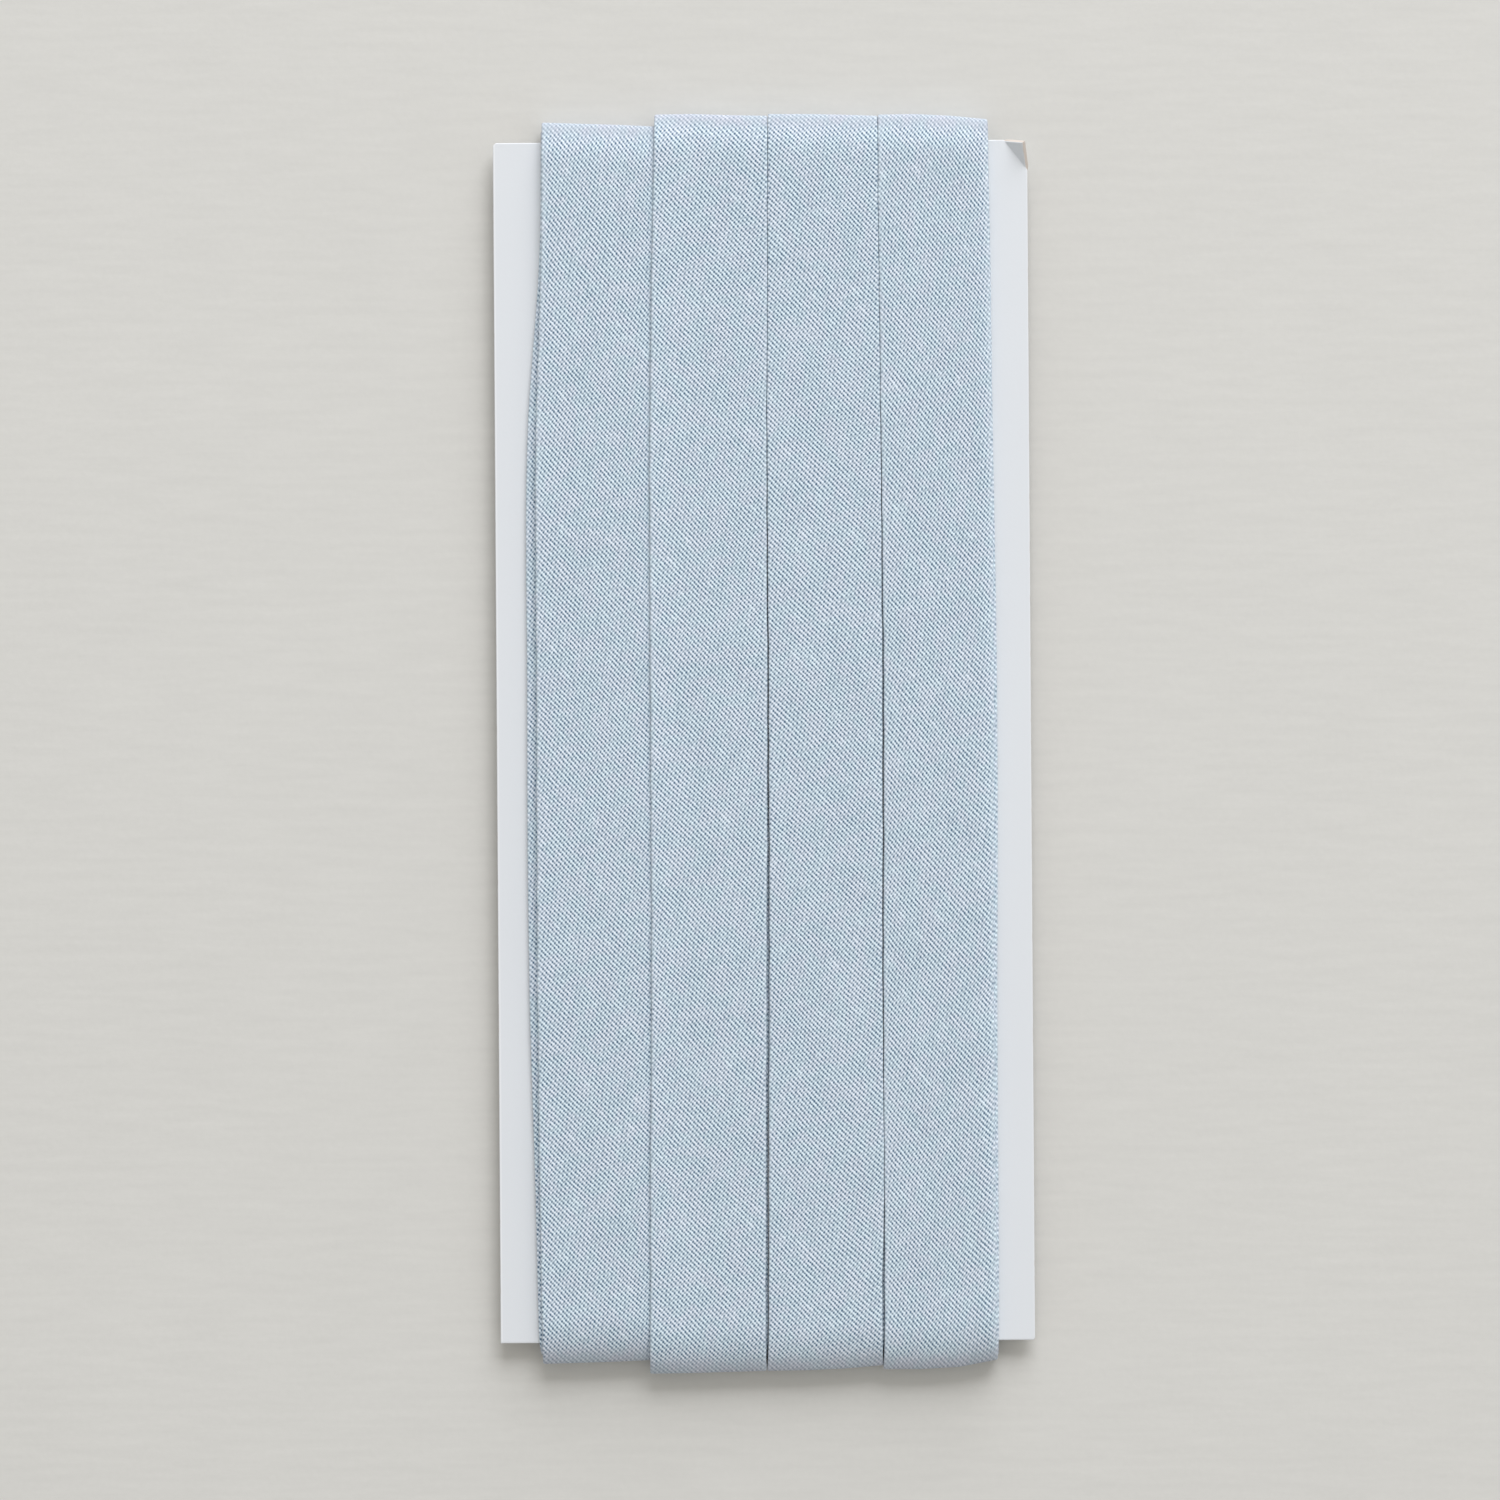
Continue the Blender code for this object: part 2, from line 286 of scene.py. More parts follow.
def smooth_through(places, values, where):
    """The curve through all the values: a cubic from each to the next, with the slope that its neighbours
    give."""
    slopes = np.gradient(values, places)
    low = np.clip(np.searchsorted(places, where) - 1, 0, len(places) - 2)
    span = places[low + 1] - places[low]
    t = (np.clip(where, places[0], places[-1]) - places[low]) / span
    start = (2 * t**3 - 3 * t**2 + 1) * values[low] + (t**3 - 2 * t**2 + t) * span * slopes[low]
    end = (3 * t**2 - 2 * t**3) * values[low + 1] + (t**3 - t**2) * span * slopes[low + 1]
    return start + end


def edge_place(name, y):
    """A named edge's place across the card, or a slit's width, at the given places along it."""
    rows = np.array(EDGE_ROWS[::-1]) * MM
    return smooth_through(rows[:, 0], rows[:, EDGE_COLUMNS.index(name)], y)


def ease(x):
    """0 up to 0, 1 from 1 on and the smooth cubic 3xx - 2xxx between them."""
    x = np.clip(x, 0.0, 1.0)
    return x * x * (3 - 2 * x)


def wander(where, seed, lengths, far):
    """A smooth irregular line: far times the mean of sines of the given wavelengths with drawn phases."""
    phases = np.random.default_rng(seed).uniform(0, 2 * math.pi, len(lengths))
    waves = [np.sin(2 * math.pi * where / length + phase) for length, phase in zip(lengths, phases)]
    return far * sum(waves) / len(lengths)


def slit(joint, y):
    """The width of the slit at the left of a lane, which only the third and the fourth have."""
    return edge_place(("gap_23", "gap_34")[joint - 2], y) if joint in (2, 3) else 0.0 * y


def lane_edges(lane, y):
    """The left and right edge of a lane's outer turn at places along the card."""
    left = (
        edge_place("left", y),
        edge_place("joint_12", y),
        edge_place("joint_23", y) + slit(2, y) / 2,
        edge_place("joint_34", y) + slit(3, y) / 2,
    )[lane]
    right = (
        edge_place("joint_12", y) + TUCK,
        edge_place("joint_23", y) - slit(2, y) / 2,
        edge_place("joint_34", y) - slit(3, y) / 2,
        edge_place("right", y),
    )[lane]
    wobble = [wander(y, joint, *EDGE_WOBBLE) for joint in (lane, lane + 1)]
    return left + wobble[0], right + wobble[1]


def turn_edges(lane, turn, y):
    """The left and right edge of any turn of a lane. The outer turn's are its lane's. The inner turns
    wander a little under it, and show beside it at the winding's two sides."""
    left, right = lane_edges(lane, y)
    if turn == LAST_TURN:
        return left, right
    width = right - left
    stray = wander(y, 100 + 10 * lane + turn, *TURN_STRAY)
    shows = turn == SHOWN_INNER_TURNS[lane]
    if lane == 0:
        left = left + HIDDEN_TURN_SHORT + stray
        if shows:
            left = edge_place("inner_left", y) + stray / SHOWN_STRAYS_LESS
        return left, left + width - TUCK
    if lane == LAST_LANE:
        right = edge_place("inner_right", y) + stray / SHOWN_STRAYS_LESS
        right = right - (0.0 if shows else HIDDEN_TURN_SHORT)
        return right - width, right
    if lane == 1:
        left = left + TUCK
    if turn == 0:
        stray = stray + SLIT_FILLED * slit(lane + 1, y)
    return left + stray, right + stray


def strip_columns():
    """The folded strip's section from raw edge to raw edge, as columns. A column lies at the strip's middle
    plus share times the fold's distance plus beyond, and on the cut cloth at share times that distance plus
    cut. level is its height over the tape's middle, and (out_x, out_z) points out of the fold."""
    face = np.sin(np.linspace(-math.pi / 2, math.pi / 2, FACE_POINTS))
    angles = np.linspace(0, math.pi, FOLD_POINTS)[1:]
    under = np.array(UNDER_PLACES) * FOLDED_UNDER
    turned = np.concatenate([angles, np.full(len(under), math.pi)])
    inward = np.concatenate([np.zeros(len(angles)), under])
    beyond = PLY_OFFSET * np.sin(turned) - inward
    cut = PLY_OFFSET * turned + inward
    flat = np.zeros(len(face))

    def both(side, middle, sign):
        return np.concatenate([sign * side[::-1], middle, side])

    return {
        "share": both(np.ones(len(turned)), face, -1),
        "beyond": both(beyond, flat, -1),
        "cut": both(cut, flat, -1),
        "level": both(PLY_OFFSET * np.cos(turned), flat + PLY_OFFSET, 1),
        "out_x": both(np.sin(turned), flat, -1),
        "out_z": both(np.cos(turned), flat + 1, 1),
    }


COLUMNS = strip_columns()


class Stretch:
    """Part of the tape's way, a row for each step: turn_angle is 0 on the front, a half turn on the back
    and passes through a quarter turn over the top end; up is 0 at the bottom end and 1 at the top one."""

    def __init__(self, lanes, turn, angle, up, left, right, half):
        self.lanes, self.turn, self.shown = lanes, turn, False
        rows = np.broadcast(angle, up).shape
        self.angle, self.up = (np.broadcast_to(x, rows).astype(float) for x in (angle, up))
        self.left, self.right, self.half = left, right, half

    def pull(self):
        """How much each row was pulled: the bottom's pull, plus the difference to the top's times up to the
        power PULL_POWER."""
        low, high = PULLS[self.lanes[1]][0], PULLS[self.lanes[0]][1]
        return low + (high - low) * self.up**PULL_POWER

    def turned_over(self):
        """How far each row has turned over an end: 0 on the faces, and 1 where the bend is steep."""
        return ease((np.abs(np.sin(self.angle)) - TURNED_FROM) / (TURNED_TO - TURNED_FROM))

    def points(self, outside):
        """Each row's points. A column keeps its distance (half, plus its level) from the card's middle
        plane and goes round an end: y = centre + (distance + stretch) x sin(angle), z = middle + or -
        (distance - droop x sin(angle) squared) x cos(angle) to the end's power, where only the upper side
        droops."""
        left, right = (np.broadcast_to(x, self.angle.shape)[:, None] for x in (self.left, self.right))
        fold = (right - left) / 2 - FOLD_REACH
        x = (left + right) / 2 + fold * COLUMNS["share"] + COLUMNS["beyond"]
        across = np.clip((x - left) / (right - left), 0, 1)
        short = FACE_HALF + TURN_SLACK[self.turn]
        top = np.interp(across, ACROSS_LANE, TOP_ENDS[self.lanes[0]]) * MM - short - TOP_STRETCH
        bottom = np.interp(across, ACROSS_LANE, BOTTOM_ENDS[self.lanes[1]]) * MM + short + BOTTOM_STRETCH
        up, angle = self.up[:, None], self.angle[:, None]
        centre = bottom + (top - bottom) * up
        stretch = BOTTOM_STRETCH + (TOP_STRETCH - BOTTOM_STRETCH) * up
        half = self.half(x, up, angle)
        level = COLUMNS["level"] + outside * COLUMNS["out_z"] * PLY / 2
        far = half + level
        placed = x + outside * COLUMNS["out_x"] * PLY / 2
        sine, cosine = np.sin(angle), np.cos(angle)
        droop = np.where(sine < 0, BOTTOM_DROOP, TOP_DROOP) * sine**2 * (cosine > 0)
        droop = droop * (INNERMOST_DROOP if self.turn == 0 else 1.0)
        power = np.where(sine < 0, BOTTOM_POWER, TOP_POWER)
        height = np.sign(cosine) * (far - droop) * np.abs(cosine) ** power
        points = np.stack([placed, centre + (far + stretch) * sine, MIDDLE_Z + height], axis=-1)
        return points, fold * COLUMNS["share"] + COLUMNS["cut"]


def even_steps(length, step):
    """Parts of a length from 0 to 1, in equal steps of about the given size."""
    return np.linspace(0.0, 1.0, round(length / step) + 1)


def straight_way(lane, up):
    """The place along the card of the middle of a lane's loop, as up goes from the bottom end to the top
    one."""
    top = np.mean(TOP_ENDS[lane]) * MM - FACE_HALF - TOP_STRETCH
    bottom = np.mean(BOTTOM_ENDS[lane]) * MM + FACE_HALF + BOTTOM_STRETCH
    return bottom + (top - bottom) * up


def lane_slant(lane, down):
    """The line from the top left corner of a lane's back to its bottom right one, as down goes from 0 to
    1."""
    lefts, rights = lane_edges(lane, LANE_ENDS)
    return lefts[0] + (rights[1] - lefts[0]) * down


def back_edges(lane, turn, down):
    """A turn's straight edges on the back, from where its top end leaves them to where its bottom end takes
    them up again, drawn in a little so that the strip from the lane before can dive under the left one."""
    above, below = turn_edges(lane, turn, LANE_ENDS), turn_edges(lane, min(turn + 1, LAST_TURN), LANE_ENDS)
    inset = BACK_INSET * ease(down / MARGIN_RAMP) * ease((1 - down) / MARGIN_RAMP) * (lane > 0)
    left = above[0][0] + (below[0][1] - above[0][0]) * down
    right = above[1][0] + (below[1][1] - above[1][0]) * down
    return left + inset, right


def front_half(lane, turn):
    """How far the front of a turn lies from the card's middle plane: the turn's own distance, slight waves,
    the rise and dip where the second lane lies over the first, and the soft right edge of the fourth."""

    def half(x, up, angle):
        y = straight_way(lane, up)
        left, right = turn_edges(lane, turn, y)
        facing = np.clip(np.cos(angle), 0, 1) ** 2
        waves = sum(
            wander(of_x * x + of_y * y, seed + 7 * lane + turn, lengths, reach)
            for seed, of_x, of_y, lengths, reach in FACE_WAVES
        )
        far = TURN_HALVES[turn] + waves * facing * ease(np.sin(math.pi * np.clip(up, 0, 1)) * CALMING)
        if turn == LAST_TURN and lane == 1:
            near = np.clip(1 - (x - left) / OVERLAP_REACH, 0, 1)
            far = far + OVERLAP_RISE * near**OVERLAP_POWER * facing
        if turn == LAST_TURN and lane == 0:
            far = far - TUCK_DIP * ease((x - right + TUCK + TUCK_DIP_REACH) / TUCK_DIP_REACH) * facing
        if lane == LAST_LANE:
            far = far - SOFT_EDGE_DIP * ease((x - right + SOFT_EDGE_REACH) / SOFT_EDGE_REACH) ** 2 * facing
        return far

    return half


def back_half(lane, turn):
    """How far the back of a turn lies from the card's middle plane. It lies one gap further out where the
    strip that enters the lane, or the tape's first end, is under it, and steps down past that strip's
    edge."""

    def half(x, up, angle):
        down = 1 - up
        edge = lane_slant(lane, down) - STRIP_BEFORE
        over = ease((edge + LANE_STEP - x) / LANE_STEP)
        if lane == 0:
            over = over * ease((down - TAIL_START + TAIL_STEP) / TAIL_STEP)
        return TURN_HALVES[turn] + TURN_GAP * over

    return half


def leaving_half(lane):
    """How far the strip that leaves a lane lies from the card's middle plane: outermost in its own lane,
    then a smooth dive at the lane's edge to lie innermost in the next one."""

    def half(x, up, angle):
        down = 1 - up
        _, own_right = back_edges(lane, 1, down)
        dive = ease((x - own_right + DIVE_BEFORE) / LANE_STEP)
        return TURN_HALVES[-1] + (TURN_HALVES[0] - TURN_HALVES[-1]) * dive

    return half


def flat_half(turn):
    """The same distance from the card's middle plane all over: the turn's own."""

    def half(x, up, angle):
        return np.full(np.broadcast(x, up).shape, TURN_HALVES[turn])

    return half


def front_run(lane, turn, step):
    """Up the front of a turn, straight from end to end between its edges there."""
    up = even_steps(STRAIGHT_RUN, step)
    left, right = turn_edges(lane, turn, straight_way(lane, up))
    return Stretch((lane, lane), turn, 0.0, up, left, right, front_half(lane, turn))


def round_an_end():
    """The share of a half turn that is done at each row. The rows crowd at its middle, where it is
    tightest."""
    x = np.linspace(-1, 1, ARC_STEPS + 1)
    return (1 + np.sign(x) * np.abs(x) ** BEND_CROWDING) / 2


def top_arc(lane, turn):
    """Over the top end: half a turn at the turn's own distance, its edges going over to where the back has
    them."""
    share = round_an_end()
    front = turn_edges(lane, turn, straight_way(lane, 1.0))
    back = leaving_edges(lane, 0.0) if turn == LAST_TURN else back_edges(lane, turn, 0.0)
    left, right = (a + (b - a) * ease(share) for a, b in zip(front, back))
    return Stretch((lane, lane), turn, math.pi * share, 1.0, left, right, front_half(lane, turn))


def bottom_arc(lane, turn, before):
    """Under the bottom end and up to the front of a turn: half a turn, from the edges that come down the
    back."""
    share = round_an_end()
    start = straight_way(lane, 0.0)
    left, right = (a + (b - a) * ease(share) for a, b in zip(before, turn_edges(lane, turn, start)))
    if turn == LAST_TURN:
        closed = SLIT_CLOSED * np.sin(math.pi * share) ** 2 / 2
        left, right = left - closed * slit(lane, start), right + closed * slit(lane + 1, start)
    return Stretch((lane, lane), turn, math.pi * (1 + share), 0.0, left, right, front_half(lane, turn))


def back_run(lane, turn, step):
    """Down the back of a turn, straight from end to end between its edges there."""
    down = even_steps(STRAIGHT_RUN, step)
    left, right = back_edges(lane, turn, down)
    return Stretch((lane, lane), turn, math.pi, 1 - down, left, right, back_half(lane, turn))


def leaving_edges(lane, down):
    """The edges of the strip that slants from a lane to the next: just past the lane's own slant line, and
    just short of the next lane's."""
    ramp = ease(down / MARGIN_RAMP)
    left = lane_slant(lane, down) + STRIP_AFTER * ramp
    if lane == LAST_LANE:
        return left, left + LAST_WIDTH
    above, below = lane_edges(lane, LANE_ENDS)[1][0], lane_edges(lane + 1, LANE_ENDS)[1][1]
    return left, above + (below - above) * down - STRIP_BEFORE * ramp


def leaving_run(lane, step):
    """Down the back from a lane's last turn, on the slant to the next lane's bottom end. The last lane's
    stops at the tape's end."""
    down = even_steps(STRAIGHT_RUN, step)
    if lane == LAST_LANE:
        down = down * TAPE_END
    left, right = leaving_edges(lane, down)
    lanes = (lane, min(lane + 1, LAST_LANE))
    return Stretch(lanes, LAST_TURN, math.pi, 1 - down, left, right, leaving_half(lane))


def entering_edges(lane):
    """The edges with which the tape comes to a lane's bottom end: the strip from the lane before, or its
    tail."""
    if lane:
        return tuple(np.atleast_1d(x)[-1] for x in leaving_edges(lane - 1, np.array([0.0, 1.0])))
    return tuple(float(x) for x in back_edges(0, 0, 1.0))


def tail_run():
    """The tape's first end, a short tail against the card behind the first lane's bottom end."""
    up = np.linspace(1 - TAIL_START, 0, TAIL_ROWS)
    left, right = entering_edges(0)
    return Stretch((0, 0), 0, math.pi, up, left, right, flat_half(0))


def up_the_front(lane, turn, before, step, shown):
    """Round the bottom end, up the front and over the top end, marked if it shows in front."""
    way = [bottom_arc(lane, turn, before), front_run(lane, turn, step), top_arc(lane, turn)]
    for stretch in way:
        stretch.shown = shown
    return way


def inner_turns(lane):
    """A lane's first two turns on the front and the one between them behind, until the second is over the
    top."""
    first, second = (turn == SHOWN_INNER_TURNS[lane] for turn in (0, 1))
    return [
        *([tail_run()] if lane == 0 else []),
        *up_the_front(lane, 0, entering_edges(lane), BACK_STEP, first),
        back_run(lane, 0, HIDDEN_STEP),
        *up_the_front(lane, 1, back_edges(lane, 0, 1.0), BACK_STEP, second),
    ]


def outer_turns(lane):
    """A lane's last turn down the back, up the front where it shows, over the top and away to the next
    lane."""
    return [
        back_run(lane, 1, BACK_STEP),
        *up_the_front(lane, LAST_TURN, back_edges(lane, 1, 1.0), FRONT_STEP, True),
        leaving_run(lane, BACK_STEP),
    ]


def tape_surface(way):
    """The closed skin of the folded strip carried along a way: points (row, round the section), their
    places across the cut strip, the length of tape, how much it is pulled and turned over at each row, and
    which steps show in front. The skin goes round the outside from raw edge to raw edge and back round the
    inside."""
    skins, cuts, pulls, turned, shown = [], [], [], [], []
    for k, stretch in enumerate(way):
        outer, cut = stretch.points(1.0)
        inner, _ = stretch.points(-1.0)
        keep = slice(None) if k == len(way) - 1 else slice(None, -1)
        skins.append(np.concatenate([outer, inner[:, ::-1]], axis=1)[keep])
        cuts.append(np.concatenate([cut, cut[:, ::-1]], axis=1)[keep])
        pulls.append(stretch.pull()[keep])
        turned.append(stretch.turned_over()[keep])
        shown += [stretch.shown] * (len(cut) - 1)
    points = np.concatenate(skins)
    steps = np.linalg.norm(np.diff(points[:, points.shape[1] // 4], axis=0), axis=1)
    along = np.concatenate([[0.0], np.cumsum(steps)])
    return points, np.concatenate(cuts), along, np.concatenate(pulls), np.concatenate(turned), np.array(shown)


def grid_faces(rows, columns):
    """The four corners of each face of a grid that closes on itself round its columns."""
    row, column = (x.ravel() for x in np.meshgrid(np.arange(rows - 1), np.arange(columns), indexing="ij"))
    after = (column + 1) % columns
    start, end = row * columns, (row + 1) * columns
    return np.stack([start + column, start + after, end + after, end + column], 1), row, column


def cap_faces(first, columns, flip):
    """The faces that close a row of the section: each column of the outside with its own of the inside."""
    k = np.arange(columns // 2 - 1)
    corners = np.stack([k, k + 1, columns - 2 - k, columns - 1 - k], 1) + first
    return corners[:, ::-1] if flip else corners


def mesh_of(name, points, faces, maps=()):
    """A mesh from flat points and four-cornered faces, with its maps given corner by corner."""
    mesh = bpy.data.meshes.new(name)
    mesh.from_pydata(points.reshape(-1, 3), [], faces)
    for map_name, corners in maps:
        layer = mesh.uv_layers.new(name=map_name)
        layer.data.foreach_set("uv", corners.astype(np.float32).ravel())
    mesh.shade_smooth()
    mesh.validate()
    return mesh


def set_attribute(mesh, name, values):
    """Gives each point of a mesh a value of its own, which a material can read by this name."""
    attribute = mesh.attributes.new(name, "FLOAT", "POINT")
    attribute.data.foreach_set("value", values.astype(np.float32).ravel())


def in_bands(bands, travel, across, step_of, corner_step):
    """Lays faces into bands side by side. travel is the length of tape before each row, and a face goes
    into the band that its own first row falls in."""
    left, bottom, width, height, number = bands
    length = travel[-1] / number + 1e-9
    band = np.minimum(travel[step_of] // length, number - 1)[:, None]
    longest = length + np.diff(travel).max()
    u = left + width * (band + 0.5 + BAND_MARGIN * across / (2 * np.abs(across).max()))
    v = bottom + height * (travel[corner_step] - band * length) / longest
    return np.stack([u, v], axis=-1)


def bake_corners(row, column, columns, along, across, shown):
    """Each face's corners in the piece's own square map for a bake. What shows in front gets most of it."""
    rows, first, last = row[:, None] + (0, 0, 1, 1), *FACE_COLUMNS
    beside = column[:, None] + (0, 1, 1, 0)
    on_face = (column >= first) & (column < last)
    steps = np.diff(along)
    left, bottom, width, height = HIDDEN_BAND
    hidden = (column[:, None] - last) % columns + (0, 1, 1, 0)
    u = left + width * along[rows] / along[-1]
    v = bottom + height * hidden / (columns - last + first)
    corners = np.stack([u, v], axis=-1)
    cut = across[rows, np.minimum(beside, columns - 1)]
    for bands, kind in ((SHOWN_BANDS, shown), (BACK_BANDS, ~shown)):
        mine = on_face & kind[row]
        travel = np.concatenate([[0.0], np.cumsum(steps * kind)])
        corners[mine] = in_bands(bands, travel, cut[mine], row[mine], rows[mine])
    return corners


def cap_corners(columns, place, flip):
    """The corners of a cut end's faces in the same map: a ladder up the band, at its first or second
    place."""
    left, bottom, width, height = CUT_END_BAND
    k = np.arange(columns // 2 - 1)[:, None]
    u = left + width * (place * CUT_END_SPACING + np.broadcast_to((0, 0, 1, 1), (len(k), 4)))
    v = bottom + height * (k + (0, 1, 1, 0)) / (columns // 2 - 1)
    corners = np.stack([u, v], axis=-1)
    return corners[:, ::-1] if flip else corners


def add_piece(name, mesh, look, node):
    """Puts a finished mesh into the scene as a piece that rides on the part and stands for a CAD node."""
    mesh.materials.append(look)
    made = bpy.data.objects.new(name, mesh)
    bpy.context.scene.collection.objects.link(made)
    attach(made, "root")
    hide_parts(node)
    return made


def wind(name, way, before, look):
    """Makes a piece of the tape from its way. before is the length of cloth already wound, and the new
    length is returned with it. The tape's own map holds metres of the cloth as it was cut: across it and
    along it."""
    points, across, along, pull, turned, shown = tape_surface(way)
    rows, columns = points.shape[:2]
    side, row, column = grid_faces(rows, columns)
    last_row = (rows - 1) * columns
    faces = np.concatenate([side, cap_faces(0, columns, False), cap_faces(last_row, columns, True)])
    cut_length = np.diff(along) * (1 - LENGTHENED * (pull[1:] + pull[:-1]) / 2)
    cut_along = before + np.concatenate([[0.0], np.cumsum(cut_length)])
    cut_across = across * (1 + NARROWED * pull[:, None])
    cloth = np.stack([cut_across, np.broadcast_to(cut_along[:, None], across.shape)], axis=-1).reshape(-1, 2)
    bake = np.concatenate([
        bake_corners(row, column, columns, along, across, shown),
        cap_corners(columns, 0, False),
        cap_corners(columns, 1, True),
    ])
    mesh = mesh_of(name, points, faces, [(TAPE_MAP, cloth[faces]), (BAKE_MAP, bake)])
    set_attribute(mesh, TURNED_OVER, np.repeat(turned, columns))
    made = add_piece(name, mesh, look, "binding")
    return float(cut_along[-1])


# Materials


class Wire:
    """A node's socket in a Python expression: an operator on it adds the Math node that works it out."""

    def __init__(self, look, socket):
        self.look, self.socket = look, socket

    def other(self, output):
        """Another output of the same node."""
        return Wire(self.look, self.socket.node.outputs[output])

    def __add__(self, value):
        return self.look.math("ADD", self, value)

    def __sub__(self, value):
        return self.look.math("SUBTRACT", self, value)

    def __rsub__(self, value):
        return self.look.math("SUBTRACT", value, self)

    def __mul__(self, value):
        return self.look.math("MULTIPLY", self, value)

    def __pow__(self, value):
        return self.look.math("POWER", self, value)

    __radd__, __rmul__ = __add__, __mul__


class Look:
    """A material under way: its nodes come from one method, and expressions on their sockets add the
    rest."""

    def __init__(self, name):
        self.material = bpy.data.materials.new(name)
        self.material.use_nodes = True
        self.tree = self.material.node_tree
        self.tree.nodes.clear()

    def node(self, kind, settings=None, sockets=None, output=0):
        """Adds a node, sets it, then fills its sockets with values or links, and returns one of its
        outputs."""
        made = self.tree.nodes.new(kind)
        for name, value in (settings or {}).items():
            setattr(made, name, value)
        for name, value in (sockets or {}).items():
            if isinstance(value, Wire):
                self.tree.links.new(value.socket, made.inputs[name])
            else:
                made.inputs[name].default_value = value
        return Wire(self, made.outputs[output]) if len(made.outputs) else made

    def math(self, operation, *values, clamp=False):
        """A Math node on numbers or sockets."""
        settings = {"operation": operation, "use_clamp": clamp}
        return self.node("ShaderNodeMath", settings, dict(enumerate(values)))

    def vector(self, operation, first, second):
        """Vector Math. SCALE takes a number second, and the rest take vectors."""
        place = 3 if operation == "SCALE" else 1
        return self.node("ShaderNodeVectorMath", {"operation": operation}, {0: first, place: second})

    def mix(self, share, first, second, blend="MIX"):
        """A share of the way from the first colour to the second, or to their blend."""
        settings = {"data_type": "RGBA", "blend_type": blend}
        return self.node("ShaderNodeMix", settings, {0: share, 6: first, 7: second}, output=2)

    def smooth(self, value, low, high):
        """0 below low, 1 above high and a smooth step between them."""
        settings = {"interpolation_type": "SMOOTHSTEP"}
        return self.node("ShaderNodeMapRange", settings, {0: value, 1: low, 2: high})

    def noise(self, vector, scale, detail=2.0, output="Fac", dimensions="3D"):
        """Smooth noise whose features are about one over scale across."""
        sockets = {"Vector": vector, "Scale": scale, "Detail": detail}
        return self.node("ShaderNodeTexNoise", {"noise_dimensions": dimensions}, sockets, output)

    def finish(self, **sockets):
        """The Principled shader with these sockets, joined to the material's output."""
        named = {name.replace("_", " "): value for name, value in sockets.items()}
        surface = self.node("ShaderNodeBsdfPrincipled", None, named)
        self.node("ShaderNodeOutputMaterial", None, {"Surface": surface})
        return self.material


def opaque(colour, brighter=1.0):
    """A setting's colour, made brighter by a factor, with the fourth number that a socket holds."""
    return tuple(brighter * x for x in colour) + (1.0,)


